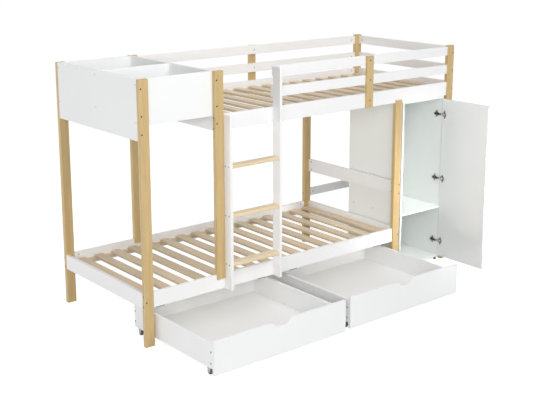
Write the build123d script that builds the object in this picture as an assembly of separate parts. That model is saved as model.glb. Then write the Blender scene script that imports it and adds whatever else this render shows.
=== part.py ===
from build123d import *
import os

# A staggered bunk bed with a shelf box, a wardrobe under its far end and two rolling drawers.
# Sizes are in millimetres. X runs along the beds, Y from the front to the back, Z up from the floor.
# Places are measured from the outer front corner of the front left post's foot.

# Whole bed
bed_length = 2100
bay = 518
depth = 970
height = 1575
right = bay + bed_length

# Posts, and the lips that lap over the rails
post_w = 60
post_t = 30
post_ease = 1.5
lip = 8
lap_down = 28
lap_up = 19

# Rails
rail_t = post_t - lip
rail_h = 95
lower_z = 233
upper_z = 1220
guard_h = 62
guard_zs = (1375, 1504)
foot_board_z = 563
stretcher_z = 362
stretcher_h = 60
guard_post_t = 18
front_guard_post_x = 1748
back_guard_post_x = 1530

# Bolts with sunk round heads
bolt_r = 5
bolt_sink = 1.5
bolt_end = 14
bolt_play = 0.15
bolt_in = 11
post_bolts = (1264, 1368, 1522)

# Slatted decks and the battens under them
slat_count = 16
slat_pitch = 129.3
slat_start = 66
slat_w = 66
slat_t = 15
slat_y = (34, 936)
slat_corner = 10
slat_drop = 39
batten_w = 22
batten_h = 22

# Shelf box
shelf_z = 1308
end_panel_z = 1225
shelf_t = 15
shelf_floor_z = 1310
divider_y = 474

# Ladder
stile_t = 18
stile_d = 68
stile_round = 12
ladder_gap = 363
rung_zs = (381, 686, 991)
rung_t = 22
rung_d = 60
rung_ease = 4
rung_front = 4

# Wardrobe
robe_x = 2110
robe_w = 415
robe_d = 525
robe_foot = 20
robe_t = 15
robe_back = 4
robe_floor_z = 25
robe_shelf_z = 401
robe_top_z = 1204
glide_r = 9

# Door, its concealed cup hinges, and the line it turns about
door_t = 16
door_z = (38, 1202)
door_gap = 3
door_left = robe_x + 2
door_right = robe_x + robe_w - 1
pin_x = robe_x + robe_w - 8
pin_y = -11
hinge_zs = (153, 621, 1089)
cup_in = 22
cup_r = 17.5
cup_depth = 12
cup_wall = 0.8
cup_rim = 19
ear_w = 16
ear_h = 60

# Drawers
drawers = {"left": (68, -575), "right": (1099, -560)}
front_w = 978
front_t = 16
front_z = (10, 212)
scoop_flat = 50
scoop_ramp = 70
scoop_drop = 34
box_w = 912
box_d = 792
side_t = 15
side_z = (45, 192)
floor_z = (56, 62)

# Casters
wheel_r = 19
wheel_w = 16
wheel_in = 14
wheel_front = 40
wheel_back = 48
axle_r = 3
bore_r = 3.06
cheek_t = 1.5
cheek_gap = 1
plate_t = 2
plate_d = 44

# Stops under the lower front rail
stop_xs = (111, 869, 1133, 1891)
stop_w = 60
stop_h = 4

# The origin stands on the floor under the middle of the whole bed
origin_x = right / 2
origin_y = (drawers["left"][1] + depth + guard_post_t) / 2

nodes = {}


def add(name, *shapes):
    nodes.setdefault(name, []).extend(shapes)


def board(x, y, z):
    # A board that fills three spans, each given as (low, high).
    spans = (x, y, z)
    middle = [(low + high) / 2 for low, high in spans]
    return Pos(*middle) * Box(*[high - low for low, high in spans])


def disc(x, y, z, radius):
    # A disc across the X axis that fills the span x.
    return Pos((x[0] + x[1]) / 2, y, z) * Rot(0, 90, 0) * Cylinder(radius, x[1] - x[0])


def plug(point, outward, top, bottom, radius):
    # A round plug under a face, between two depths.
    place = Plane(origin=Vector(*point) - Vector(*outward) * bottom, z_dir=outward)
    return extrude(place * Circle(radius), amount=bottom - top)


def post(x, y, z, lap=None):
    # A post with eased long edges, cut away behind the lip where it laps a rail.
    body = board((x, x + post_w), (y, y + post_t), z)
    body = chamfer(body.edges().filter_by(Axis.Z), post_ease)
    if lap:
        body -= board((x, x + post_w), (y + lip, y + post_t), lap)
    return body


def bolted(name, body, bolts):
    # Bolts a body from outside: each bolt is a point on its face and the way the face looks.
    for point, outward in bolts:
        body -= plug(point, outward, -1, bolt_end, bolt_r + bolt_play)
        add("frame_bolts", plug(point, outward, bolt_sink, bolt_end, bolt_r))
    add(name, body)


# Posts: the outer ones reach the floor, the inner ones stand on the lower rails,
# and the middle ones carry the upper rails
lower_top = lower_z + rail_h
upper_top = upper_z + rail_h
guard_bolts = [z + guard_h / 2 for z in guard_zs]
lower_pair = (lower_z + 13, lower_z + 75)
upper_pair = (upper_z + 13, upper_z + 76)
board_pair = (foot_board_z + 15, foot_board_z + 77)
stretcher_bolt = stretcher_z + stretcher_h / 2
rail_mid_y = lip + rail_t / 2

for side, y, face_y, out_y in (("front", 0, 0, -1), ("back", depth - post_t, depth, 1)):
    rail_y = y + rail_mid_y
    outward = (0, out_y, 0)
    at_back = side == "back"

    body = post(0, y, (0, height))
    bolts = [((bolt_in, face_y, z), outward) for z in (lower_z + 42, *post_bolts)]
    bolts += [((0, rail_y, z), (-1, 0, 0)) for z in lower_pair]
    bolted(f"post_{side}_left", body, bolts)

    body = post(bay, y, (lower_top - lap_down, height), (lower_top - lap_down, lower_top))
    bolts = [((bay + bolt_in, face_y, z), outward) for z in post_bolts]
    bolts += [((bay, rail_y, z), (-1, 0, 0)) for z in upper_pair]
    if at_back:
        bolts += [((bay, rail_y, z), (-1, 0, 0)) for z in guard_bolts]
    bolted(f"post_{side}_inner", body, bolts)

    x = bed_length - post_w
    body = post(x, y, (0, upper_z + lap_up), (upper_z, upper_z + lap_up))
    bolts = [((bed_length - bolt_in, face_y, z), outward) for z in (lower_z + 47, *board_pair)]
    bolts += [((bed_length, rail_y, z), (1, 0, 0)) for z in lower_pair]
    if at_back:
        bolts += [((x, rail_y, stretcher_bolt), (-1, 0, 0))]
    bolted(f"post_{side}_middle", body, bolts)

    x = right - post_w
    body = post(x, y, (0, height))
    bolts = [((right - bolt_in + 2, face_y, z), outward) for z in (upper_z + 46, 1394, 1521)]
    bolts += [((right, rail_y, z), (1, 0, 0)) for z in (*upper_pair, *guard_bolts)]
    if at_back:
        bolts += [((right, rail_y, stretcher_bolt), (1, 0, 0))]
    bolted(f"post_{side}_right", body, bolts)

# Guard posts stand on the outer faces of the upper rails
for x, y, face_y, out_y in ((front_guard_post_x, lip - guard_post_t, lip - guard_post_t, -1),
                            (back_guard_post_x, depth, depth + guard_post_t, 1)):
    body = board((x, x + post_w), (y, y + guard_post_t), (upper_z, guard_zs[1] + guard_h))
    body = chamfer(body.edges().filter_by(Axis.Z), post_ease)
    middle = x + post_w / 2
    bolts = [((middle, face_y, z), (0, out_y, 0)) for z in (upper_z + 50, *guard_bolts)]
    bolted("guard_posts", body, bolts)

# Side rails fill the notches between the posts, end rails run from front to back posts
front_y = (lip, post_t)
back_y = (depth - rail_t, depth)
cross_y = (post_t, depth - post_t)
lower_x = (post_w, bed_length - post_w)
upper_x = (bay + post_w, right - post_w)
head_x = (0, rail_t)
foot_x = (bed_length - rail_t, bed_length)
end_x = (right - rail_t, right)
add("lower_front_rail", board(lower_x, front_y, (lower_z, lower_top)))
add("lower_back_rail", board(lower_x, back_y, (lower_z, lower_top)))
add("lower_head_rail", board(head_x, cross_y, (lower_z, lower_top)))
add("lower_foot_rail", board(foot_x, cross_y, (lower_z, lower_top)))
add("foot_board", board(foot_x, cross_y, (foot_board_z, foot_board_z + rail_h)))
add("back_stretcher", board((bed_length, right - post_w), back_y,
                            (stretcher_z, stretcher_z + stretcher_h)))
add("upper_front_rail", board(upper_x, front_y, (upper_z, upper_top)))
add("upper_back_rail", board(upper_x, back_y, (upper_z, upper_top)))
add("upper_foot_rail", board(end_x, cross_y, (upper_z, upper_top)))

# Guard rails: the front ones end on the ladder's tall stile
left_stile_x = bay + post_w
right_stile_x = left_stile_x + stile_t + ladder_gap
for z, start in zip(guard_zs, (right_stile_x, right_stile_x + stile_t / 2)):
    span = (z, z + guard_h)
    add("front_guard_rails", board((start, right - post_w), front_y, span))
    add("back_guard_rails", board(upper_x, back_y, span))
    add("foot_guard_rails", board(end_x, cross_y, span))

# Slatted decks
slat_face = Rectangle(slat_w, slat_y[1] - slat_y[0])
slat = extrude(fillet(slat_face.vertices(), slat_corner), amount=slat_t)
slat_mid_y = sum(slat_y) / 2
for level, start, top, span in (("lower", 0, lower_top, lower_x),
                                ("upper", bay, upper_top, upper_x)):
    z = top - slat_drop - slat_t
    for i in range(slat_count):
        x = start + slat_start + i * slat_pitch + slat_w / 2
        add(f"{level}_slats", Pos(x, slat_mid_y, z) * slat)
    for y in (post_t, depth - rail_t - batten_w):
        add("slat_battens", board(span, (y, y + batten_w), (z - batten_h, z)))

# Shelf box between the outer end panel and the upper bed's head panel
box_x = (rail_t, bay)
add("shelf_end_panel", board(head_x, cross_y, (end_panel_z, height)))
add("upper_head_panel", board((bay, bay + rail_t), cross_y, (upper_z, height)))
add("shelf_front_panel", board(box_x, (post_t, post_t + shelf_t), (shelf_z, height)))
add("shelf_back_panel", board(box_x, (cross_y[1] - shelf_t, cross_y[1]), (shelf_z, height)))
shelf_top = shelf_floor_z + shelf_t
add("shelf_floor", board(box_x, (post_t + shelf_t, cross_y[1] - shelf_t),
                         (shelf_floor_z, shelf_top)))
add("shelf_divider", board(box_x, (divider_y, divider_y + shelf_t), (shelf_top, height)))

# Ladder: the right stile reaches up to the guard rails
for name, x, top in (("left", left_stile_x, upper_top),
                     ("right", right_stile_x, guard_zs[1] + guard_h + 2)):
    stile = board((x, x + stile_t), (lip - stile_d, lip), (lower_z, top))
    corner = stile.edges().filter_by(Axis.X).group_by(Axis.Z)[-1].sort_by(Axis.Y)[0]
    add(f"ladder_stile_{name}", fillet(corner, stile_round))
for z in rung_zs:
    y = lip - stile_d + rung_front
    rung = board((left_stile_x + stile_t, right_stile_x), (y, y + rung_d), (z, z + rung_t))
    add("ladder_rungs", fillet(rung.edges().filter_by(Axis.X), rung_ease))

# Wardrobe
robe_right = robe_x + robe_w
inner_x = (robe_x + robe_t, robe_right - robe_t)
robe_y = (0, robe_d - robe_back)
robe_z = (robe_foot, robe_top_z)
add("wardrobe_left_side", board((robe_x, inner_x[0]), robe_y, robe_z))
add("wardrobe_right_side", board((inner_x[1], robe_right), robe_y, robe_z))
add("wardrobe_back", board((robe_x, robe_right), (robe_y[1], robe_d), robe_z))
add("wardrobe_top", board((robe_x, robe_right), (0, robe_d), (robe_top_z, upper_z)))
add("wardrobe_floor", board(inner_x, robe_y, (robe_floor_z, robe_floor_z + robe_t)))
add("wardrobe_shelf", board(inner_x, robe_y, (robe_shelf_z, robe_shelf_z + robe_t)))
for x in (robe_x + glide_r, robe_right - glide_r):
    for y in (25, robe_d - 25):
        add("wardrobe_feet", Pos(x, y, robe_foot / 2) * Cylinder(glide_r, robe_foot))

# Door and hinge cups, laid out shut and then turned open about the hinge line.
# Each cup is sunk in the door's inner face and its rim and ears stand just proud of it.
door = board((door_left, door_right), (-door_gap - door_t, -door_gap), door_z)
cup_x = door_right - cup_in
cups = []
for z in hinge_zs:
    face = (cup_x, -door_gap, z)
    door -= plug(face, (0, 1, 0), -1, cup_depth, cup_r)
    rim = plug(face, (0, 1, 0), -cup_wall, 0, cup_rim)
    ears = board((cup_x - ear_w / 2 - 2, cup_x + ear_w / 2 - 2),
                 (-door_gap, -door_gap + cup_wall), (z - ear_h / 2, z + ear_h / 2))
    shell = plug(face, (0, 1, 0), 0, cup_depth, cup_r)
    mouth = plug(face, (0, 1, 0), -1, cup_depth - cup_wall, cup_r - cup_wall)
    cups.append(rim + ears + shell - mouth)
swing = Pos(pin_x, pin_y, 0) * Rot(0, 0, 90) * Pos(-pin_x, -pin_y, 0)
add("wardrobe_door", swing * door)
add("hinge_cups", *[swing * cup for cup in cups])

# Hinge arms: a plate on the right side board, the arm, and a nose that enters the cup
for z in hinge_zs:
    x = inner_x[1]
    plate = board((x - 3, x), (28, 64), (z - 25, z + 25))
    arm = board((x - 11.5, x - 3), (4, 62), (z - 9, z + 9))
    nose = board((x - 10.5, x - 3), (-12, 4), (z - 6, z + 6))
    add("hinge_arms", plate + arm + nose)


def scooped_front(x, y):
    # A drawer front whose top edge falls in two S-curves to a flat grip.
    low, top = front_z
    middle, flat = front_w / 2, scoop_flat / 2
    with BuildSketch(Plane.XZ) as face:
        with BuildLine():
            for way in (-1, 1):
                rim = (middle + way * (flat + scoop_ramp), top)
                bend = (middle + way * (flat + scoop_ramp / 2), top - scoop_drop / 2)
                foot = (middle + way * flat, top - scoop_drop)
                TangentArc(rim, bend, tangent=(-way, 0))
                TangentArc(foot, bend, tangent=(way, 0))
            Line((middle - flat, top - scoop_drop), (middle + flat, top - scoop_drop))
            Polyline((middle + flat + scoop_ramp, top), (front_w, top), (front_w, low),
                     (0, low), (0, top), (middle - flat - scoop_ramp, top))
        make_face()
    return Pos(x, y, 0) * extrude(face.sketch, amount=-front_t)


def caster(x, y):
    # A fixed fork with its axle under a drawer's side, and the wheel on it.
    half = wheel_w / 2 + cheek_gap
    outer = half + cheek_t
    plate_z = side_z[0]
    fork = board((x - outer, x + outer), (y - plate_d / 2, y + plate_d / 2),
                 (plate_z - plate_t, plate_z))
    for way in (-1, 1):
        span = sorted((x + way * half, x + way * outer))
        fork += board(span, (y - 9, y + 9), (wheel_r, plate_z - plate_t))
        fork += disc(span, y, wheel_r, 9)
    fork += disc((x - outer, x + outer), y, wheel_r, axle_r)
    wheel = disc((x - wheel_w / 2, x + wheel_w / 2), y, wheel_r, wheel_r)
    wheel -= disc((x - wheel_w, x + wheel_w), y, wheel_r, bore_r)
    return fork, wheel


# Drawers: each front hangs over its box at the right-hand end
for name, (x, y) in drawers.items():
    box_y = (y + front_t, y + front_t + box_d)
    add(f"{name}_drawer_front", scooped_front(x, y))
    for side_x in (x, x + box_w - side_t):
        add(f"{name}_drawer_sides", board((side_x, side_x + side_t), box_y, side_z))
    inner = (x + side_t, x + box_w - side_t)
    add(f"{name}_drawer_back", board(inner, (box_y[1] - side_t, box_y[1]), side_z))
    add(f"{name}_drawer_floor", board(inner, (box_y[0], box_y[1] - side_t), floor_z))
    for row, wheel_y in (("front", box_y[0] + wheel_front), ("rear", box_y[1] - wheel_back)):
        for wheel_x in (x + wheel_in, x + box_w - wheel_in):
            fork, wheel = caster(wheel_x, wheel_y)
            add(f"{name}_drawer_casters", fork)
            add(f"{name}_{row}_wheels", wheel)

# Stops under the lower front rail
for x in stop_xs:
    add("rail_stops", board((x - stop_w / 2, x + stop_w / 2), (lip + 2, post_t - 4),
                            (lower_z - stop_h, lower_z)))

os.makedirs("parts", exist_ok=True)
shift = Pos(-origin_x, -origin_y, 0)
for name, shapes in nodes.items():
    placed = [shift * shape for shape in shapes]
    whole = placed[0] if len(placed) == 1 else Compound(placed)
    export_step(whole, f"parts/{name}.step")
print(len(nodes), "nodes")
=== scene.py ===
import bpy
import math
import numpy as np
from mathutils import Matrix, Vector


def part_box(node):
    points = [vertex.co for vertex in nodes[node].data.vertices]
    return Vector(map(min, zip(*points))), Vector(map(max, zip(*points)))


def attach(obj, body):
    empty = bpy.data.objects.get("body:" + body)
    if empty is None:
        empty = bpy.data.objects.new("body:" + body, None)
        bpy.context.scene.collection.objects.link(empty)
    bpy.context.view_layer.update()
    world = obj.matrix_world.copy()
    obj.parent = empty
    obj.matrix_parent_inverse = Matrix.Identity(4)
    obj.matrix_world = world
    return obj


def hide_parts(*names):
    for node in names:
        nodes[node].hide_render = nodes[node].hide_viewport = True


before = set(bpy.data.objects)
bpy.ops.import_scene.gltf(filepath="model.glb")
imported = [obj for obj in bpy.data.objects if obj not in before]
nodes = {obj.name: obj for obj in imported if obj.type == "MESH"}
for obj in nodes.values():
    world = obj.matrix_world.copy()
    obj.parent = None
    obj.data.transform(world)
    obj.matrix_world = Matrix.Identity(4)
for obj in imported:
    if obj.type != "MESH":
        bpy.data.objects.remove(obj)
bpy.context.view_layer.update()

# Bunk bed in pine and white lacquer: camera, light, finishes and hardware.
# Metres, +X along the beds, +Y to the wall, +Z up; the frame's own places are kept.

print("stage: frame loaded,", len(nodes), "nodes")


# Small helpers for colours, shader nodes and meshes

def linear(code):
    # sRGB hex to linear light: below 0.04045 divide by 12.92, else ((c + 0.055) / 1.055) ^ 2.4
    parts = [int(code[i:i + 2], 16) / 255 for i in (1, 3, 5)]
    return [c / 12.92 if c <= 0.04045 else ((c + 0.055) / 1.055) ** 2.4 for c in parts] + [1.0]


def addNode(tree, kind, settings=None, values=None, links=None):
    # one shader node: its properties, its socket values and what feeds its sockets
    node = tree.nodes.new(kind)
    for key, value in (settings or {}).items():
        setattr(node, key, value)
    for key, value in (values or {}).items():
        node.inputs[key].default_value = value
    for key, source in (links or {}).items():
        tree.links.new(source, node.inputs[key])
    return node


def newMaterial(name):
    # a new material, its node tree and its main shader
    material = bpy.data.materials.new(name)
    material.use_nodes = True
    tree = material.node_tree
    shader = tree.nodes["Principled BSDF"]
    return material, tree, shader


def mathNode(tree, operation, first, second=None, clamp=False):
    # one sum with numbers or sockets as its inputs
    node = addNode(tree, "ShaderNodeMath", {"operation": operation, "use_clamp": clamp})
    for i, item in enumerate((first, second)):
        if item is None:
            continue
        if isinstance(item, (int, float)):
            node.inputs[i].default_value = item
        else:
            tree.links.new(item, node.inputs[i])
    return node.outputs[0]


def mixColour(tree, factor, first, second):
    # first at factor 0, second at factor 1
    node = addNode(tree, "ShaderNodeMix", {"data_type": "RGBA"})
    for i, item in ((0, factor), (6, first), (7, second)):
        if isinstance(item, (int, float, list, tuple)):
            node.inputs[i].default_value = item
        else:
            tree.links.new(item, node.inputs[i])
    return node.outputs[2]


def spread(tree, source, low, high, newLow, newHigh):
    # straight-line map of one span on another, held at its ends
    return addNode(tree, "ShaderNodeMapRange", {"clamp": True},
                   {1: low, 2: high, 3: newLow, 4: newHigh}, {0: source}).outputs[0]


def meshPiece(name, points, faces, material, body, slotName, smooth=True):
    # a mesh object at the origin from whole arrays of points and faces
    mesh = bpy.data.meshes.new(name)
    mesh.from_pydata(np.asarray(points, float).tolist(), [],
                     faces.tolist() if isinstance(faces, np.ndarray) else faces)
    mesh.polygons.foreach_set("use_smooth", np.full(len(mesh.polygons), smooth))
    mesh.materials.append(material)
    mesh.update()
    piece = bpy.data.objects.new(name, mesh)
    bpy.context.scene.collection.objects.link(piece)
    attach(piece, body)
    return piece


def lathe(profile, sides, closed=False):
    # surface of turning: point = (r cos t, r sin t, h) for profile rows (r, h)
    profile = np.asarray(profile, float)
    turn = np.arange(sides) * 2 * np.pi / sides
    r, h = profile[:, 0], profile[:, 1]
    points = np.stack([np.outer(np.cos(turn), r), np.outer(np.sin(turn), r),
                       np.broadcast_to(h, (sides, len(h)))], -1).reshape(-1, 3)
    rows = len(profile)
    last = rows if closed else rows - 1
    i, j = np.meshgrid(np.arange(sides), np.arange(last), indexing="ij")
    nextI, nextJ = (i + 1) % sides, (j + 1) % rows
    faces = np.stack([i * rows + j, nextI * rows + j, nextI * rows + nextJ, i * rows + nextJ], -1)
    return points, faces.reshape(-1, 4)


def turnTo(direction):
    # rotation matrix that carries +Z to the direction
    z = np.array(direction, float) / np.linalg.norm(direction)
    x = np.cross((0, 0, 1) if abs(z[2]) < 0.9 else (0, 1, 0), z)
    x = x / np.linalg.norm(x)
    return np.stack([x, np.cross(z, x), z], 1)


def repeatAt(points, faces, places):
    # the same small mesh at each (centre, direction)
    allPoints, allFaces = [], []
    for k, (centre, direction) in enumerate(places):
        allPoints.append(points @ turnTo(direction).T + np.asarray(centre))
        allFaces.append(faces + k * len(points))
    return np.concatenate(allPoints), np.concatenate(allFaces)


def prism(outline, low, high, axis):
    # an outline carried from low to high along an axis, with flat ends
    outline = np.asarray(outline, float)
    n = len(outline)
    area = np.sum(outline[:, 0] * np.roll(outline[:, 1], -1)
                  - np.roll(outline[:, 0], -1) * outline[:, 1])
    if area < 0:
        outline = outline[::-1]
    order = {"X": (2, 0, 1), "Y": (1, 2, 0), "Z": (0, 1, 2)}[axis]
    rings = []
    for level in (low, high):
        flat = np.column_stack([outline, np.full(n, level)])
        rings.append(flat[:, order])
    points = np.concatenate(rings)
    side = [[i, (i + 1) % n, n + (i + 1) % n, n + i] for i in range(n)]
    faces = [list(range(n))[::-1], list(range(n, 2 * n))] + side
    return points, faces


def join(parts):
    # several (points, faces) as one
    points, faces, start = [], [], 0
    for p, f in parts:
        points.append(np.asarray(p, float))
        faces += [[int(v) + start for v in face] for face in f]
        start += len(p)
    return np.concatenate(points), faces


def solidBoxes(name):
    # lowest and highest corners of each separate solid in a node:
    # equal corners get one number, and each triangle spreads its lowest number
    mesh = nodes[name].data
    places = np.empty(len(mesh.vertices) * 3)
    mesh.vertices.foreach_get("co", places)
    places = places.reshape(-1, 3)
    mesh.calc_loop_triangles()
    triangles = np.empty(len(mesh.loop_triangles) * 3, int)
    mesh.loop_triangles.foreach_get("vertices", triangles)
    same = np.unique(np.round(places * 1e5).astype(int), axis=0, return_inverse=True)[1].ravel()
    triangles = same[triangles.reshape(-1, 3)]
    label = np.arange(same.max() + 1)
    while True:
        low = label[triangles].min(1)
        new = label.copy()
        for k in range(3):
            np.minimum.at(new, triangles[:, k], low)
        if (new == label).all():
            break
        label = new
    owner = label[same]
    return [(places[owner == v].min(0), places[owner == v].max(0)) for v in np.unique(owner)]


# Finishes

def boardPlace(tree, place, grain, look):
    # a place on each board with its third axis along the grain, moved far off by dice of the
    # board's own, so that no two boards show the same wood
    shifted = addNode(tree, "ShaderNodeVectorMath", {"operation": "ADD"},
                      {1: look["cellStart"]}, {0: place}).outputs[0]
    cell = addNode(tree, "ShaderNodeVectorMath", {"operation": "SNAP"},
                   {1: look["cell"]}, {0: shifted}).outputs[0]
    dice = addNode(tree, "ShaderNodeTexWhiteNoise", {"noise_dimensions": "3D"},
                   None, {"Vector": cell})
    far = addNode(tree, "ShaderNodeVectorMath", {"operation": "SCALE"},
                  {"Scale": 9.0}, {0: dice.outputs["Color"]}).outputs[0]
    split = addNode(tree, "ShaderNodeSeparateXYZ", None, None, {0: place})
    across, thick, along = {"X": (2, 1, 0), "Y": (0, 2, 1), "Z": (0, 1, 2)}[grain]
    board = addNode(tree, "ShaderNodeCombineXYZ", None, None,
                    {0: split.outputs[across], 1: split.outputs[thick],
                     2: split.outputs[along]}).outputs[0]
    board = addNode(tree, "ShaderNodeVectorMath", {"operation": "ADD"},
                    None, {0: board, 1: far}).outputs[0]
    return board, far, dice


def yearRings(tree, board, far, wander, halo, look):
    # distance to the heart of the log, bent by slow noise and pushed out round a knot, cut
    # into rings that darken slowly and end sharply
    parts = addNode(tree, "ShaderNodeSeparateXYZ", None, None, {0: board})
    heart = addNode(tree, "ShaderNodeSeparateXYZ", None, None, {0: far})
    sideways = mathNode(tree, "SUBTRACT", parts.outputs[0], heart.outputs[0])
    sideways = mathNode(tree, "ADD", sideways, look["heartAside"])
    deep = mathNode(tree, "SUBTRACT", parts.outputs[1], heart.outputs[1])
    deep = mathNode(tree, "ADD", deep, look["heartDeep"])
    radius = mathNode(tree, "SQRT", mathNode(tree, "ADD", mathNode(tree, "POWER", sideways, 2.0),
                                             mathNode(tree, "POWER", deep, 2.0)))
    radius = mathNode(tree, "ADD", radius, mathNode(tree, "MULTIPLY", wander, look["wander"]))
    radius = mathNode(tree, "ADD", radius, mathNode(tree, "MULTIPLY", halo, look["knotPush"]))
    ring = mathNode(tree, "FRACT", mathNode(tree, "DIVIDE", radius, look["ringWidth"]))
    ramp = addNode(tree, "ShaderNodeValToRGB", None, None, {0: ring})
    ramp.color_ramp.interpolation = "EASE"
    stops = ((0.0, 0.0), (0.45, 0.12), (0.82, 0.75), (0.93, 1.0), (1.0, 0.0))
    for i, (at, value) in enumerate(stops):
        stop = ramp.color_ramp.elements[i] if i < 2 else ramp.color_ramp.elements.new(at)
        stop.position = at
        stop.color = (value, value, value, 1)
    return ramp.outputs[0]


def pineMaterial(name, grain, look):
    # clear-lacquered pine: pale early wood with thin darker late wood along the board,
    # fine fibres, a rare knot, and a tone of its own for each board
    material, tree, shader = newMaterial(name)
    coordinate = addNode(tree, "ShaderNodeTexCoord")
    board, far, dice = boardPlace(tree, coordinate.outputs["Object"], grain, look)

    def noise(scale, detail, stretch):
        # noise on the board, drawn out along the grain
        drawn = addNode(tree, "ShaderNodeVectorMath", {"operation": "MULTIPLY"},
                        {1: (1, 1, stretch)}, {0: board}).outputs[0]
        return addNode(tree, "ShaderNodeTexNoise", None,
                       {"Scale": scale, "Detail": detail, "Roughness": 0.55},
                       {"Vector": drawn}).outputs[0]

    # knots: cells far apart, dark where the board passes close to a cell's middle
    cells = addNode(tree, "ShaderNodeTexVoronoi", {"feature": "F1"},
                    {"Scale": look["knotsPerMetre"], "Randomness": 1.0}, {"Vector": board})
    knotDistance = mathNode(tree, "DIVIDE", cells.outputs["Distance"], look["knotsPerMetre"])
    knot = spread(tree, knotDistance, look["knotSize"] * 0.6, look["knotSize"] * 1.15, 1, 0)
    halo = spread(tree, knotDistance, look["knotSize"], look["knotSize"] * 4, 1, 0)
    rings = yearRings(tree, board, far, noise(look["wandersPerMetre"], 2.0, 0.45), halo, look)
    fibres = noise(look["fibresPerMetre"], 3.0, 0.02)
    bands = noise(look["bandsPerMetre"], 2.0, 0.06)

    late = mathNode(tree, "MULTIPLY", rings, look["ringDepth"])
    late = mathNode(tree, "ADD", late, spread(tree, bands, 0.3, 0.7, 0, look["bandDepth"]))
    late = mathNode(tree, "ADD", late, spread(tree, fibres, 0.3, 0.7, 0, look["fibreDepth"]),
                    clamp=True)
    colour = mixColour(tree, late, linear(look["early"]), linear(look["late"]))
    tone = spread(tree, dice.outputs["Value"], 0, 1, 1 - look["boardSpread"],
                  1 + look["boardSpread"])
    colour = addNode(tree, "ShaderNodeVectorMath", {"operation": "SCALE"}, None,
                     {0: colour, "Scale": tone}).outputs[0]
    colour = mixColour(tree, mathNode(tree, "MULTIPLY", knot, look["knotDepth"]), colour,
                       linear(look["knot"]))
    # end grain drinks more lacquer and goes darker and duller
    facing = addNode(tree, "ShaderNodeSeparateXYZ", None, None,
                     {0: coordinate.outputs["Normal"]}).outputs["XYZ".index(grain)]
    endGrain = spread(tree, mathNode(tree, "ABSOLUTE", facing), 0.6, 0.95, 0, 1)
    colour = mixColour(tree, mathNode(tree, "MULTIPLY", endGrain, look["endGrainDepth"]), colour,
                       linear(look["endGrain"]))
    tree.links.new(colour, shader.inputs["Base Color"])
    rough = mathNode(tree, "ADD", spread(tree, fibres, 0.3, 0.7, look["rough"] - 0.05,
                                         look["rough"] + 0.07),
                     mathNode(tree, "MULTIPLY", endGrain, 0.2))
    tree.links.new(rough, shader.inputs["Roughness"])
    relief = mathNode(tree, "ADD", mathNode(tree, "MULTIPLY", fibres, 0.7),
                      mathNode(tree, "MULTIPLY", rings, 0.5))
    bump = addNode(tree, "ShaderNodeBump", None, {"Strength": 0.5, "Distance": look["relief"]},
                   {"Height": relief})
    tree.links.new(bump.outputs[0], shader.inputs["Normal"])
    shader.inputs["Coat Weight"].default_value = look["coat"]
    shader.inputs["Coat Roughness"].default_value = look["coatRough"]
    shader.inputs["IOR"].default_value = 1.5
    return material


def lacquerMaterial(name, look):
    # sprayed white lacquer or melamine: near-white, with a faint orange peel in the gloss
    # and a very slow drift of tone, so that no panel is a dead flat white
    material, tree, shader = newMaterial(name)
    place = addNode(tree, "ShaderNodeTexCoord").outputs["Object"]

    def noise(scale, detail):
        return addNode(tree, "ShaderNodeTexNoise", None, {"Scale": scale, "Detail": detail},
                       {"Vector": place}).outputs[0]

    slow = noise(1.6, 2.0)
    peel = noise(look["peelPerMetre"], 2.0)
    fine = noise(look["peelPerMetre"] * 4.5, 1.0)
    colour = mixColour(tree, spread(tree, slow, 0.3, 0.7, 0, 1), linear(look["colour"]),
                       linear(look["drift"]))
    tree.links.new(colour, shader.inputs["Base Color"])
    tree.links.new(spread(tree, noise(22, 3.0), 0.3, 0.7, look["rough"] - 0.03,
                          look["rough"] + 0.04), shader.inputs["Roughness"])
    relief = mathNode(tree, "ADD", peel, mathNode(tree, "MULTIPLY", fine, look["fineShare"]))
    bump = addNode(tree, "ShaderNodeBump", None, {"Strength": look["peelStrength"],
                                                  "Distance": look["peelDepth"]},
                   {"Height": relief})
    tree.links.new(bump.outputs[0], shader.inputs["Normal"])
    shader.inputs["IOR"].default_value = 1.5
    shader.inputs["Coat Weight"].default_value = look["coat"]
    shader.inputs["Coat Roughness"].default_value = look["coatRough"]
    return material


plating = {"cloudsPerMetre": 180, "marksPerMetre": 2600, "markStretch": 0.08,
           "markDeep": 0.00005}


def metalMaterial(name, look):
    # plated steel: a clear metal reflection broken by fine rolling marks and uneven plating
    material, tree, shader = newMaterial(name)
    place = addNode(tree, "ShaderNodeTexCoord").outputs["Object"]
    cloud = addNode(tree, "ShaderNodeTexNoise", None,
                    {"Scale": plating["cloudsPerMetre"], "Detail": 4.0},
                    {"Vector": place}).outputs[0]
    drawn = addNode(tree, "ShaderNodeVectorMath", {"operation": "MULTIPLY"},
                    {1: (1, plating["markStretch"], 1)}, {0: place}).outputs[0]
    marks = addNode(tree, "ShaderNodeTexNoise", None,
                    {"Scale": plating["marksPerMetre"], "Detail": 2.0},
                    {"Vector": drawn}).outputs[0]
    colour = mixColour(tree, spread(tree, cloud, 0.3, 0.7, 0, 1), linear(look["colour"]),
                       linear(look["stain"]))
    tree.links.new(colour, shader.inputs["Base Color"])
    rough = mathNode(tree, "ADD", spread(tree, cloud, 0.3, 0.7, look["rough"] - 0.05,
                                         look["rough"] + 0.05),
                     spread(tree, marks, 0.3, 0.7, -0.04, 0.06))
    tree.links.new(rough, shader.inputs["Roughness"])
    bump = addNode(tree, "ShaderNodeBump", None,
                   {"Strength": 0.3, "Distance": plating["markDeep"]}, {"Height": marks})
    tree.links.new(bump.outputs[0], shader.inputs["Normal"])
    shader.inputs["Metallic"].default_value = look["metal"]
    return material


mould = {"sparksPerMetre": 1800.0, "sparkDeep": 0.00008, "dustPerMetre": 60}


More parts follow.
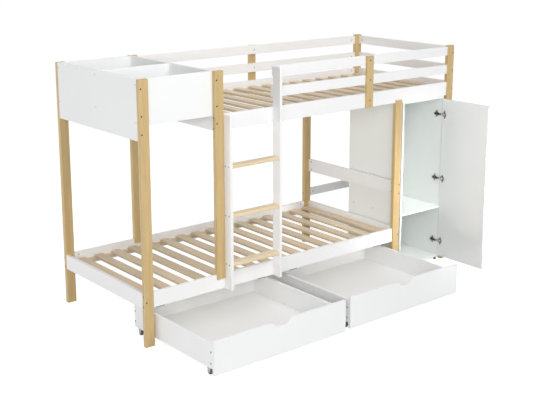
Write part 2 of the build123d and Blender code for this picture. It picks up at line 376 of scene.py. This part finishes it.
def plasticMaterial(name, look):
    # moulded plastic: an even colour under a fine sparked texture that dulls the highlight
    material, tree, shader = newMaterial(name)
    place = addNode(tree, "ShaderNodeTexCoord").outputs["Object"]
    spark = addNode(tree, "ShaderNodeTexVoronoi", None, {"Scale": mould["sparksPerMetre"]},
                    {"Vector": place}).outputs["Distance"]
    dust = addNode(tree, "ShaderNodeTexNoise", None,
                   {"Scale": mould["dustPerMetre"], "Detail": 4.0},
                   {"Vector": place}).outputs[0]
    colour = mixColour(tree, spread(tree, dust, 0.35, 0.75, 0, 1), linear(look["colour"]),
                       linear(look["dust"]))
    tree.links.new(colour, shader.inputs["Base Color"])
    tree.links.new(spread(tree, spark, 0, 0.6, look["rough"] - 0.06, look["rough"] + 0.08),
                   shader.inputs["Roughness"])
    bump = addNode(tree, "ShaderNodeBump", None,
                   {"Strength": 0.35, "Distance": mould["sparkDeep"]}, {"Height": spark})
    tree.links.new(bump.outputs[0], shader.inputs["Normal"])
    shader.inputs["IOR"].default_value = 1.46
    return material


# cell is the block of space that holds one board, and cellStart shifts the blocks to fit
pineLook = {
    "early": "#D6BF8C", "late": "#B8945B", "knot": "#7A4E2B", "endGrain": "#B9955F",
    "ringWidth": 0.0036, "ringDepth": 0.55, "bandsPerMetre": 55.0, "bandDepth": 0.30,
    "fibresPerMetre": 900.0, "fibreDepth": 0.22, "wander": 0.022, "wandersPerMetre": 2.2,
    "heartAside": 0.02, "heartDeep": 0.05, "knotsPerMetre": 3.2, "knotSize": 0.009,
    "knotPush": 0.006, "knotDepth": 0.8, "endGrainDepth": 0.45, "rough": 0.46,
    "coat": 0.25, "coatRough": 0.28, "boardSpread": 0.035, "relief": 0.0003,
    "cell": (0.5, 0.6, 40.0), "cellStart": (1.459, 0.5065, 20.0),
}
slatLook = dict(pineLook, early="#EADBC0", late="#C8AC88", rough=0.62, boardSpread=0.06,
                knotsPerMetre=4.0, knotSize=0.010, heartAside=0.0, heartDeep=0.03,
                cell=(0.1293, 40.0, 0.5), cellStart=(1.274, 20.0, 0.0))
battenLook = dict(slatLook, cell=(40.0, 0.6, 0.5), cellStart=(20.0, 0.5065, 0.0))
rungLook = dict(pineLook, early="#F1E3C6", late="#D8BC8E", cell=(40.0, 40.0, 0.305),
                cellStart=(20.0, 20.0, 0.15))

paintLook = {"colour": "#F7F7F7", "drift": "#F4F4F5", "rough": 0.36, "peelPerMetre": 260.0,
             "peelStrength": 0.25, "peelDepth": 0.00006, "fineShare": 0.25, "coat": 0.1,
             "coatRough": 0.25}
boardLook = dict(paintLook, colour="#F5F6F6", drift="#F2F3F3", rough=0.42, peelPerMetre=700.0,
                 peelDepth=0.00004, coat=0.0)
# painted light: the white board with a faint green tint and a touch brighter, standing in for the
# light inside the wardrobe
boardTintedForInsideLightLook = dict(boardLook, colour="#F5F8F6", drift="#F2F6F3")
glossLook = dict(paintLook, colour="#F2F3F3", drift="#F0F1F1", rough=0.10, peelPerMetre=90.0,
                 peelStrength=0.12, peelDepth=0.00005, coat=0.6, coatRough=0.03)

finishes = {
    "postPine": pineMaterial("clearPinePosts", "Z", pineLook),
    "slatPine": pineMaterial("rawPineSlats", "Y", slatLook),
    "battenPine": pineMaterial("rawPineBattens", "X", battenLook),
    "rungPine": pineMaterial("clearPineRungs", "X", rungLook),
    "paint": lacquerMaterial("whiteSatinPaint", paintLook),
    "board": lacquerMaterial("whiteMelamineBoard", boardLook),
    "insideLightTint": lacquerMaterial("whiteMelamineTintedForInsideLight", boardTintedForInsideLightLook),
    "gloss": lacquerMaterial("whiteHighGloss", glossLook),
    "darkSteel": metalMaterial("darkZincSteel", {"colour": "#2A2521", "stain": "#191613",
                                                 "rough": 0.60, "metal": 0.5}),
    "nickel": metalMaterial("nickelPlatedSteel", {"colour": "#B9B7B2", "stain": "#8F8C86",
                                                  "rough": 0.24, "metal": 1.0}),
    "zinc": metalMaterial("brightZincSteel", {"colour": "#A9ADB2", "stain": "#868A90",
                                              "rough": 0.30, "metal": 1.0}),
    "blackPlastic": plasticMaterial("blackMouldedPlastic", {"colour": "#1B1B1C",
                                                            "dust": "#232324", "rough": 0.55}),
    "tread": plasticMaterial("greyRubberTread", {"colour": "#626264", "dust": "#747476",
                                                 "rough": 0.68}),
}
print("stage: finishes made,", len(finishes))


# CAD nodes: finish and eased edges

def smoothGroup():
    # welds the loose triangles and shades smooth across angles under 30 degrees
    group = bpy.data.node_groups.new("weldAndShade", "GeometryNodeTree")
    group.interface.new_socket("Geometry", in_out="INPUT", socket_type="NodeSocketGeometry")
    group.interface.new_socket("Geometry", in_out="OUTPUT", socket_type="NodeSocketGeometry")
    start = addNode(group, "NodeGroupInput")
    weld = addNode(group, "GeometryNodeMergeByDistance", None, {"Distance": 0.00001},
                   {0: start.outputs[0]})
    angle = addNode(group, "GeometryNodeInputMeshEdgeAngle")
    gentle = addNode(group, "FunctionNodeCompare", {"data_type": "FLOAT", "operation": "LESS_THAN"},
                     {1: math.radians(30)}, {0: angle.outputs["Unsigned Angle"]})
    faces = addNode(group, "GeometryNodeSetShadeSmooth", {"domain": "FACE"},
                    {"Shade Smooth": True}, {0: weld.outputs[0]})
    edges = addNode(group, "GeometryNodeSetShadeSmooth", {"domain": "EDGE"}, None,
                    {0: faces.outputs[0], "Shade Smooth": gentle.outputs[0]})
    addNode(group, "NodeGroupOutput", None, None, {0: edges.outputs[0]})
    return group


weldAndShade = smoothGroup()


def easeEdges(thing, width, segments=2, weld=True):
    # rounds the sharp edges by a real edge radius, in metres
    if weld:
        step = thing.modifiers.new("weldAndShade", "NODES")
        step.node_group = weldAndShade
    if width:
        bevel = thing.modifiers.new("easedEdges", "BEVEL")
        bevel.width = width
        bevel.segments = segments
        bevel.limit_method = "ANGLE"
        bevel.angle_limit = math.radians(40)
        bevel.use_clamp_overlap = True


dressing = {
    "postPine": (["guard_posts"] + [n for n in nodes if n.startswith("post_")], 0.0012),
    "slatPine": (["lower_slats", "upper_slats"], 0.0015),
    "battenPine": (["slat_battens"], 0.0010),
    "rungPine": (["ladder_rungs"], 0.0010),
    "paint": (["lower_front_rail", "lower_back_rail", "lower_head_rail", "lower_foot_rail",
               "foot_board", "back_stretcher", "upper_front_rail", "upper_back_rail",
               "upper_foot_rail", "front_guard_rails", "back_guard_rails", "foot_guard_rails",
               "ladder_stile_left", "ladder_stile_right"], 0.0015),
    "board": (["upper_head_panel", "shelf_end_panel", "shelf_front_panel", "shelf_back_panel",
               "shelf_divider", "shelf_floor"]
              + [n for n in nodes if "_drawer_" in n and not n.endswith("casters")], 0.0008),
    # the wardrobe's inner boards take the green-tinted, brightened white: painted light of the
    # wardrobe's inside
    "insideLightTint": (["wardrobe_left_side", "wardrobe_right_side", "wardrobe_back", "wardrobe_top",
               "wardrobe_floor", "wardrobe_shelf"], 0.0006),
    "gloss": (["wardrobe_door"], 0.0012),
    "blackPlastic": (["wardrobe_feet", "rail_stops"], 0.0008),
}
for finish, (names, width) in dressing.items():
    for name in names:
        thing = nodes[name]
        thing.data.materials.clear()
        thing.data.materials.append(finishes[finish])
        easeEdges(thing, width)
print("stage: frame dressed,", sum(len(v[0]) for v in dressing.values()), "nodes")


# Bolts in the posts: sunk cylinder heads with a six-sided socket

boltHead = {"radius": 0.0049, "socket": 0.0026, "socketDeep": 0.0035, "sides": 24}


def socketHead(look):
    # profile turned about Z; inside the socket the radius follows a hexagon:
    # r = flat / cos(t folded into 60 degrees - 30)
    r, s, deep = look["radius"], look["socket"], look["socketDeep"]
    profile = [(r, -0.010), (r, -0.0006), (r - 0.0005, 0.0), (s * 1.22, 0.0), (s * 1.1, -0.0003),
               (s, -deep), (s * 0.5, -deep - 0.0008), (0.00005, -deep - 0.0010)]
    points, faces = lathe(profile, look["sides"])
    turn = np.arctan2(points[:, 1], points[:, 0])
    fold = np.mod(turn, np.pi / 3) - np.pi / 6
    inside = (np.hypot(points[:, 0], points[:, 1]) < s * 1.15)[:, None]
    stretch = np.where(inside, (1 / np.cos(fold))[:, None], 1.0)
    return points * np.concatenate([stretch, stretch, np.ones_like(stretch)], 1), faces


postBoxes = [b for n in nodes if n.startswith("post_") or n == "guard_posts"
             for b in solidBoxes(n)]
boltPlaces = []
for low, high in solidBoxes("frame_bolts"):
    size = high - low
    axis = int(np.argmax(size))
    middle = (low + high) / 2
    home = min(postBoxes, key=lambda b: np.abs(np.clip(middle, b[0], b[1]) - middle).sum())
    outward = np.zeros(3)
    near = low[axis] - home[0][axis] < home[1][axis] - high[axis]
    outward[axis] = -1 if near else 1
    head = middle.copy()
    head[axis] = low[axis] if near else high[axis]
    boltPlaces.append((head, outward))
points, faces = repeatAt(*socketHead(boltHead), boltPlaces)
bolts = meshPiece("boltHeads", points, faces, finishes["darkSteel"], "bed_frame", "bolt_steel")
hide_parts("frame_bolts")
print("stage: bolts,", len(boltPlaces))


# Barrel nuts in the rails' inner faces: a dark disc with a slot, near each rail end

nut = {"radius": 0.005, "slotWide": 0.0012, "slotDeep": 0.0012, "fromEnd": 0.034, "proud": 0.0002}


def slottedDisc(look, rings=5, sides=24):
    # height falls by the slot's depth where |y| is under half the slot's width
    r = np.concatenate([[0.00005], np.linspace(0.15, 1.0, rings) * look["radius"],
                        [look["radius"]]])
    h = np.concatenate([np.full(rings + 1, 0.0), [-0.002]])
    points, faces = lathe(np.column_stack([r, h]), sides)
    inSlot = (np.abs(points[:, 1]) < look["slotWide"]) & (points[:, 2] > -0.001) \
        & (np.hypot(points[:, 0], points[:, 1]) < look["radius"] * 0.99)
    points[inSlot, 2] -= look["slotDeep"]
    return points, faces[:, ::-1]


def nutRow(name, heights, inward, ends=("low", "high"), part=0):
    # places on one rail's inner face: inward is the way that face looks
    low, high = solidBoxes(name)[part]
    axis = int(np.argmax(np.abs(inward)))
    along = 1 if axis == 0 else 0
    face = (high if inward[axis] > 0 else low)[axis]
    rows = []
    for end in ends:
        at = low[along] + nut["fromEnd"] if end == "low" else high[along] - nut["fromEnd"]
        for share in heights:
            centre = np.zeros(3)
            centre[axis] = face + nut["proud"] * inward[axis]
            centre[along] = at
            centre[2] = low[2] + share * (high[2] - low[2])
            rows.append((centre, inward))
    return rows


twoNuts, oneNut = (0.18, 0.82), (0.5,)
back, front = np.array((0, -1.0, 0)), np.array((0, 1.0, 0))
head, foot = np.array((1.0, 0, 0)), np.array((-1.0, 0, 0))
nutPlaces = []
for name, heights, inward in (("lower_front_rail", twoNuts, front),
                              ("lower_back_rail", twoNuts, back),
                              ("upper_front_rail", twoNuts, front),
                              ("upper_back_rail", twoNuts, back),
                              ("back_stretcher", oneNut, back),
                              ("lower_head_rail", oneNut, head),
                              ("lower_foot_rail", oneNut, foot),
                              ("foot_board", twoNuts, foot),
                              ("upper_foot_rail", oneNut, foot)):
    nutPlaces += nutRow(name, heights, inward)
for part in (0, 1):
    nutPlaces += nutRow("back_guard_rails", oneNut, back, part=part)
    nutPlaces += nutRow("front_guard_rails", oneNut, front, ("high",), part)
    nutPlaces += nutRow("foot_guard_rails", oneNut, foot, part=part)
# the guard posts' bolts end in nuts on the inner faces of the three rails they cross
for low, high in solidBoxes("guard_posts"):
    names, inward = (("front_guard_rails", "upper_front_rail"), front) if low[1] < 0 else \
        (("back_guard_rails", "upper_back_rail"), back)
    for railLow, railHigh in [box for name in names for box in solidBoxes(name)]:
        face = (railHigh if inward[1] > 0 else railLow)[1] + nut["proud"] * inward[1]
        nutPlaces.append((np.array(((low[0] + high[0]) / 2, face, (railLow[2] + railHigh[2]) / 2)),
                          inward))
points, faces = repeatAt(*slottedDisc(nut), nutPlaces)
meshPiece("barrelNuts", points, faces, finishes["darkSteel"], "bed_frame", "bolt_steel", False)
print("stage: barrel nuts,", len(nutPlaces))


# Wood screws: countersunk heads with a cross recess

screw = {"radius": 0.0035, "crossWide": 0.0006, "crossLong": 0.0019, "crossDeep": 0.0009,
         "proud": 0.0002}


def crossHead(look, sides=16):
    # a low dome whose height falls inside a cross: min(|x|, |y|) small and max(|x|, |y|) short
    r = np.array([0.00005, 0.3, 0.5, 0.62, 0.85, 1.0]) * look["radius"]
    h = 0.0004 * (1 - (r / look["radius"]) ** 2)
    points, faces = lathe(np.column_stack([r, h]), sides)
    x, y = np.abs(points[:, 0]), np.abs(points[:, 1])
    inCross = (np.minimum(x, y) < look["crossWide"]) & (np.maximum(x, y) < look["crossLong"])
    points[inCross, 2] -= look["crossDeep"]
    return points, faces[:, ::-1]


def addScrews(name, places, body, finish="nickel", slotName="hinge_nickel", scale=1.0):
    # one piece with a head at each (centre, direction)
    points, faces = crossHead({k: v * scale for k, v in screw.items()})
    points, faces = repeatAt(points, faces, places)
    meshPiece(name, points, faces, finishes[finish], body, slotName)


# one at each slat's end
slatScrew = {"fromEnd": 0.010}
up = (0, 0, 1.0)
slatScrewPlaces = []
for name in ("lower_slats", "upper_slats"):
    for low, high in solidBoxes(name):
        for y in (low[1] + slatScrew["fromEnd"], high[1] - slatScrew["fromEnd"]):
            slatScrewPlaces.append((((low[0] + high[0]) / 2, y, high[2] + screw["proud"]), up))
addScrews("slatScrews", slatScrewPlaces, "bed_frame")

# two larger dark ones in the last lower slat
footScrew = {"fromSide": 0.026, "fromFront": (0.310, 0.605), "scale": 1.2}
low, high = max(solidBoxes("lower_slats"), key=lambda box: box[0][0])
footScrewPlaces = [((high[0] - footScrew["fromSide"], low[1] + y, high[2] + screw["proud"]), up)
                   for y in footScrew["fromFront"]]
addScrews("slatEndScrews", footScrewPlaces, "bed_frame", "darkSteel", "bolt_steel",
          footScrew["scale"])

# two through each stile into each rung's end, at shares of the rung's depth
rungScrew = {"shares": (0.24, 0.79), "scale": 1.15}
rungScrewPlaces = []
for low, high in solidBoxes("ladder_rungs"):
    z = (low[2] + high[2]) / 2
    for share in rungScrew["shares"]:
        y = low[1] + share * (high[1] - low[1])
        for stileName, way in (("ladder_stile_left", -1), ("ladder_stile_right", 1)):
            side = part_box(stileName)[0][0] if way < 0 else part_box(stileName)[1][0]
            rungScrewPlaces.append(((side + way * screw["proud"], y, z), (way, 0, 0)))
addScrews("rungScrews", rungScrewPlaces, "bed_frame", "darkSteel", "bolt_steel",
          rungScrew["scale"])

# through the shelf box's end panel into its divider and sides, and through the wardrobe's
# left side into its shelf; heights are above the floor
panelScrew = {"fromEdge": 0.010, "sideHeights": (1.544, 1.330), "dividerHeights": (1.550, 1.358),
              "shelfHeight": 0.409, "shelfDepths": (-0.1465, 0.0635, 0.2635), "scale": 0.9}
endLow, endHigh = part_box("shelf_end_panel")
dividerLow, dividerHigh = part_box("shelf_divider")
panelRows = (((dividerLow[1] + dividerHigh[1]) / 2, panelScrew["dividerHeights"]),
             (endLow[1] + panelScrew["fromEdge"], panelScrew["sideHeights"]),
             (endHigh[1] - panelScrew["fromEdge"], panelScrew["sideHeights"]))
panelScrewPlaces = [((endLow[0] - screw["proud"], y, z), (-1, 0, 0))
                    for y, heights in panelRows for z in heights]
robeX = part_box("wardrobe_left_side")[0][0] - screw["proud"]
panelScrewPlaces += [((robeX, y, panelScrew["shelfHeight"]), (-1, 0, 0))
                     for y in panelScrew["shelfDepths"]]
addScrews("panelScrews", panelScrewPlaces, "bed_frame", "darkSteel", "bolt_steel",
          panelScrew["scale"])

# through each drawer's sides into its front and its back
drawerScrew = {"fromFront": 0.014, "frontHeights": (0.074, 0.140), "fromBack": 0.008,
               "backHeights": (0.080, 0.146), "scale": 1.5}
for hand in ("left", "right"):
    sideScrews = []
    faceLow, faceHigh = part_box(f"{hand}_drawer_front")
    for low, high in solidBoxes(f"{hand}_drawer_sides"):
        leftHand = low[0] < (faceLow[0] + faceHigh[0]) / 2
        x, way = (low[0], -1) if leftHand else (high[0], 1)
        for y, heights in ((low[1] + drawerScrew["fromFront"], drawerScrew["frontHeights"]),
                           (high[1] - drawerScrew["fromBack"], drawerScrew["backHeights"])):
            for z in heights:
                sideScrews.append(((x + way * screw["proud"], y, z), (way, 0, 0)))
    addScrews(f"{hand}DrawerScrews", sideScrews, f"{hand}_drawer", "darkSteel", "bolt_steel",
              drawerScrew["scale"])
print("stage: screws")


# Casters: a pressed fork with a riveted axle, and a wheel with a raised hub

caster = {"wheelRadius": 0.0189, "wheelHalf": 0.0079, "bore": 0.0031, "cheekIn": 0.0090,
          "cheekOut": 0.0103, "cheekRadius": 0.0085, "cheekTopHalf": 0.0165,
          "plateHalf": (0.0104, 0.0215), "plateCorner": 0.003, "plateThick": 0.0019,
          "rivet": 0.0048}


def wheelMesh(look):
    # closed outline of tread, shoulders, web and hub turned about the axle
    r, w, b = look["wheelRadius"], look["wheelHalf"], look["bore"]
    half = [(b, w), (b + 0.0032, w), (b + 0.0040, w - 0.0008), (b + 0.0046, w - 0.0030),
            (r - 0.0070, w - 0.0032), (r - 0.0062, w - 0.0006), (r - 0.0050, w),
            (r - 0.0028, w - 0.0002), (r - 0.0012, w - 0.0012), (r - 0.0003, w - 0.0030),
            (r, w - 0.0052)]
    profile = half + [(radius, -h) for radius, h in half[::-1]]
    return lathe(profile, 40, closed=True)


def forkMesh(look, x, y, wheelZ, top):
    # top plate, two cheeks that narrow to a round about the axle, and a rivet on each
    halfX, halfY = look["plateHalf"]
    r = look["plateCorner"]
    corner = [(sx * (halfX - r) + r * math.cos(a), sy * (halfY - r) + r * math.sin(a))
              for sx, sy, a0 in ((1, 1, 0), (-1, 1, 90), (-1, -1, 180), (1, -1, 270))
              for a in np.radians(np.linspace(a0, a0 + 90, 5))]
    under = top - look["plateThick"]
    parts = [prism(np.array(corner) + (x, y), under, top, "Z")]
    cheek = [(y + look["cheekRadius"] * math.cos(a), wheelZ + look["cheekRadius"] * math.sin(a))
             for a in np.radians(np.linspace(-160, -20, 13))]
    cheek = [(y - look["cheekTopHalf"], under)] + cheek + [(y + look["cheekTopHalf"], under)]
    for way in (-1, 1):
        a, b = sorted((x + way * look["cheekIn"], x + way * look["cheekOut"]))
        parts.append(prism(cheek, a, b, "X"))
        dome = [(0.00005, 0.0002), (look["rivet"] * 0.7, 0.00015), (look["rivet"], 0.0),
                (look["rivet"], -0.0012)]
        points, faces = lathe(dome, 16)
        parts.append(repeatAt(points, faces[:, ::-1],
                              [((x + way * (look["cheekOut"] - 0.00002), y, wheelZ),
                                (way, 0, 0))]))
    return join(parts)


for hand in ("left", "right"):
    forks = []
    for row in ("front", "rear"):
        wheels = []
        for low, high in solidBoxes(f"{hand}_{row}_wheels"):
            centre = (low + high) / 2
            wheels.append((centre, (1.0, 0, 0)))
            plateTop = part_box(f"{hand}_drawer_casters")[1][2]
            forks.append(forkMesh(caster, centre[0], centre[1], centre[2], plateTop))
        points, faces = repeatAt(*wheelMesh(caster), wheels)
        wheelPiece = meshPiece(f"{hand}{row.title()}Wheels", points, faces, finishes["tread"],
                               f"{hand}_{row}_axle", "wheel_plastic")
        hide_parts(f"{hand}_{row}_wheels")
        easeEdges(wheelPiece, 0)
    forkPiece = meshPiece(f"{hand}CasterForks", *join(forks), finishes["zinc"],
                          f"{hand}_drawer", "zinc_steel", False)
    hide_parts(f"{hand}_drawer_casters")
    easeEdges(forkPiece, 0.0003)
print("stage: casters")


# Cup hinges: cup and ears in the door, mounting plate and gooseneck arm on the side board

hinge = {
    "cupRadius": 0.0165, "cupDeep": 0.0108, "cupFromEdge": 0.019, "rim": 0.0186,
    "rimProud": 0.0007, "earAside": 0.002, "earHalf": 0.0075, "earReach": 0.0295,
    "earFoot": 0.0155, "earScrew": 0.0235, "plateLong": 0.036, "plateThick": 0.0028,
    "plateScrew": 0.018, "armGap": 0.0002, "armEnd": 0.003, "flangeIn": 0.0046,
    "flangeOut": 0.0058, "capThick": 0.0015, "armScrews": (-0.010, 0.008), "screwGap": 0.0001,
    # one corner of the plate's outline, in metres along Y and Z from its middle
    "plateCorner": ((0.016, 0.008), (0.007, 0.012), (0.0065, 0.0245)),
    # the gooseneck's outer line, its inner line and its lower end: metres from the nose along Y,
    # then down from the arm's top
    "neck": ((0.024, 0.0), (0.016, 0.0008), (0.006, 0.0012), (0.0008, 0.0016),
             (0.0002, 0.0030), (0.0004, 0.0062), (0.012, 0.0080)),
    "underNeck": ((0.0062, 0.0026), (0.016, 0.0022), (0.024, 0.0014)),
    "neckFoot": 0.018,
    # the cap over the arm's rear: metres from the rear end along Y, then half its width
    "cap": ((0.003, 0.0085), (0.050, 0.0085), (0.054, 0.006)),
}


def hingeCup(look, face, y, z):
    # a turned cup with a thin rim in the door's face, with a screwed ear above and below
    deep, radius, rim, proud = look["cupDeep"], look["cupRadius"], look["rim"], look["rimProud"]
    profile = [(rim, 0.0), (rim, proud * 0.6), (rim - 0.0004, proud), (radius + 0.0003, proud),
               (radius, proud - 0.0004), (radius, -deep + 0.002), (radius - 0.002, -deep),
               (0.00005, -deep)]
    points, faces = lathe(profile, 40)
    parts = [repeatAt(points, faces, [((face, y, z), (-1.0, 0, 0))])]
    screws = []
    earY, half, reach = y - look["earAside"], look["earHalf"], look["earReach"]
    for way in (-1, 1):
        tip = [(earY + half * math.cos(a), z + way * (reach - half + half * math.sin(a)))
               for a in np.radians(np.linspace(0, 180, 13))]
        foot = z + way * look["earFoot"]
        parts.append(prism(tip + [(earY - half, foot), (earY + half, foot)],
                           face - proud, face, "X"))
        screws.append(((face - proud - look["screwGap"], earY, z + way * look["earScrew"]),
                       (-1.0, 0, 0)))
    return parts, screws


def hingeArm(look, low, high, z):
    # a cross-shaped plate on the side board, and on it a channel with a back and two flanges
    # that drops in a gooseneck to the nose
    wall, nose, rear = high[0], low[1], high[1]
    midY = rear - look["plateLong"] / 2
    corner = look["plateCorner"]
    cross = [(midY + wayY * y, z + wayZ * up)
             for wayY, wayZ in ((-1, -1), (1, -1), (1, 1), (-1, 1))
             for y, up in (corner if wayY == wayZ else corner[::-1])]
    parts = [prism(cross, wall - look["plateThick"], wall, "X")]
    top, end = low[0] + look["armGap"], rear - look["armEnd"]
    seat = wall - look["plateThick"] - look["armGap"]
    neck = [(top, end)] + [(top + down, nose + y) for y, down in look["neck"]]
    spine = neck[:4] + [(top + down, nose + y) for y, down in look["underNeck"]]
    spine.append((spine[-1][0], end))
    neck += [(seat, nose + look["neckFoot"]), (seat, end)]
    for way in (-1, 1):
        a, b = sorted((z + way * look["flangeIn"], z + way * look["flangeOut"]))
        parts.append(prism(neck, a, b, "Z"))
    parts.append(prism(spine, z - look["flangeIn"], z + look["flangeIn"], "Z"))
    cap = [(rear - y, z - half) for y, half in look["cap"]] \
        + [(rear - y, z + half) for y, half in look["cap"][::-1]]
    parts.append(prism(cap, top, top + look["capThick"], "X"))
    screws = [((wall - look["plateThick"] - look["screwGap"], midY, z + way * look["plateScrew"]),
               (-1.0, 0, 0)) for way in (-1, 1)]
    screws += [((top - look["screwGap"], midY + y, z), (-1.0, 0, 0)) for y in look["armScrews"]]
    return parts, screws


cupBoxes = sorted(solidBoxes("hinge_cups"), key=lambda b: b[0][2])
armBoxes = sorted(solidBoxes("hinge_arms"), key=lambda b: b[0][2])
cupParts, armParts, cupScrews, armScrews = [], [], [], []
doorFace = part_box("wardrobe_door")[0][0]
for (cupLow, cupHigh), (armLow, armHigh) in zip(cupBoxes, armBoxes):
    middleZ = (cupLow[2] + cupHigh[2]) / 2
    parts, screws = hingeCup(hinge, doorFace, cupLow[1] + hinge["cupFromEdge"], middleZ)
    cupParts += parts
    cupScrews += screws
    parts, screws = hingeArm(hinge, armLow, armHigh, middleZ)
    armParts += parts
    armScrews += screws
cups = meshPiece("hingeCups", *join(cupParts), finishes["nickel"], "door", "hinge_nickel", False)
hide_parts("hinge_cups")
easeEdges(cups, 0)
arms = meshPiece("hingeArms", *join(armParts), finishes["nickel"], "bed_frame", "hinge_nickel",
                 False)
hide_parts("hinge_arms")
easeEdges(arms, 0.0002)
addScrews("hingeCupScrews", cupScrews, "door")
addScrews("hingePlateScrews", armScrews, "bed_frame")
print("stage: hinges")


# Floor, backdrop, light and camera

studio = {
    "floorColour": "#CDCDCD", "floorGlow": 0.80, "floorHalf": 30.0, "floorDrop": 0.0004,
    "worldColour": "#FFFFFF", "worldLevel": 0.33,
    "lamps": {
        # name: place, aim, width, height, watts, spread in degrees, colour
        "softBoxCameraSide": ((-5.5, -6.5, 3.2), (0.2, 0.1, 0.7), 4.0, 3.0, 256.0, 180, "#FFFFFF"),
        "highFront": ((0.0, -5.0, 5.5), (0.0, 0.0, 0.7), 3.0, 3.0, 180.0, 180, "#FFFFFF"),
        "backLeft": ((-6.0, 3.5, 1.2), (-0.6, 0.2, 0.6), 1.5, 1.2, 38.0, 180, "#FFFFFF"),
        "backLeftStrip": ((-8.0, 2.5, 0.9), (-0.6, 0.2, 0.6), 2.5, 1.2, 76.0, 180, "#FFFFFF"),
        "topPanel": ((0.0, -0.5, 6.0), (0.0, 0.0, 0.0), 4.0, 4.0, 47.0, 180, "#FFFFFF"),
        "wardrobeSnoot": ((1.35, -4.4, 1.55), (1.0, 0.3, 0.45), 0.6, 0.6, 2.2, 18, "#FFFFFF"),
    },
}


def showsWhite(tree):
    # 1 for camera, mirror and glass rays
    path = addNode(tree, "ShaderNodeLightPath")
    seen = mathNode(tree, "MAXIMUM", path.outputs["Is Camera Ray"], path.outputs["Is Glossy Ray"])
    return mathNode(tree, "MAXIMUM", seen, path.outputs["Is Transmission Ray"])


floorMaterial, tree, shader = newMaterial("palePaperFloor")
tree.nodes.remove(shader)
matt = addNode(tree, "ShaderNodeBsdfDiffuse", None, {"Color": linear(studio["floorColour"])})
glow = addNode(tree, "ShaderNodeEmission", None, {"Color": (1, 1, 1, 1)},
               {"Strength": mathNode(tree, "MULTIPLY", showsWhite(tree), studio["floorGlow"])})
both = addNode(tree, "ShaderNodeAddShader", None, None, {0: matt.outputs[0], 1: glow.outputs[0]})
tree.links.new(both.outputs[0], tree.nodes["Material Output"].inputs[0])
floorMesh = bpy.data.meshes.new("studioFloor")
floorCorners = [(x * studio["floorHalf"], y * studio["floorHalf"], -studio["floorDrop"])
                for x, y in ((-1, -1), (1, -1), (1, 1), (-1, 1))]
floorMesh.from_pydata(floorCorners, [], [(0, 1, 2, 3)])
floorMesh.materials.append(floorMaterial)
floorObject = bpy.data.objects.new("studioFloor", floorMesh)
bpy.context.scene.collection.objects.link(floorObject)

world = bpy.data.worlds.new("paleStudio")
bpy.context.scene.world = world
world.use_nodes = True
tree = world.node_tree
background = tree.nodes["Background"]
background.inputs["Color"].default_value = linear(studio["worldColour"])
level = addNode(tree, "ShaderNodeMix", {"data_type": "FLOAT"},
                {2: studio["worldLevel"], 3: 1.0}, {0: showsWhite(tree)})
tree.links.new(level.outputs[0], background.inputs["Strength"])

for name, (place, aim, width, tall, watts, opening, colour) in studio["lamps"].items():
    lamp = bpy.data.lights.new(name, "AREA")
    lamp.shape = "RECTANGLE"
    lamp.size, lamp.size_y, lamp.energy = width, tall, watts
    lamp.color = linear(colour)[:3]
    lamp.spread = math.radians(opening)
    holder = bpy.data.objects.new(name, lamp)
    turn = Matrix(turnTo(np.array(place) - aim).tolist())
    holder.matrix_world = Matrix.Translation(place) @ turn.to_4x4()
    bpy.context.scene.collection.objects.link(holder)

# camera fitted to the photograph: image taken as 550 x 412
view = {"place": (-4.238, -4.929, 2.403), "turn": 39.54, "dip": 12.56, "lens": 66.32,
        "shift": -0.10}
cameraData = bpy.data.cameras.new("photographView")
cameraData.lens, cameraData.sensor_width, cameraData.shift_y = view["lens"], 36.0, view["shift"]
cameraData.clip_end = 100
camera = bpy.data.objects.new("photographView", cameraData)
camera.location = view["place"]
camera.rotation_euler = (math.radians(90 - view["dip"]), 0, -math.radians(view["turn"]))
bpy.context.scene.collection.objects.link(camera)
bpy.context.scene.camera = camera
bpy.context.scene.view_settings.view_transform = "Standard"
print("stage: studio")
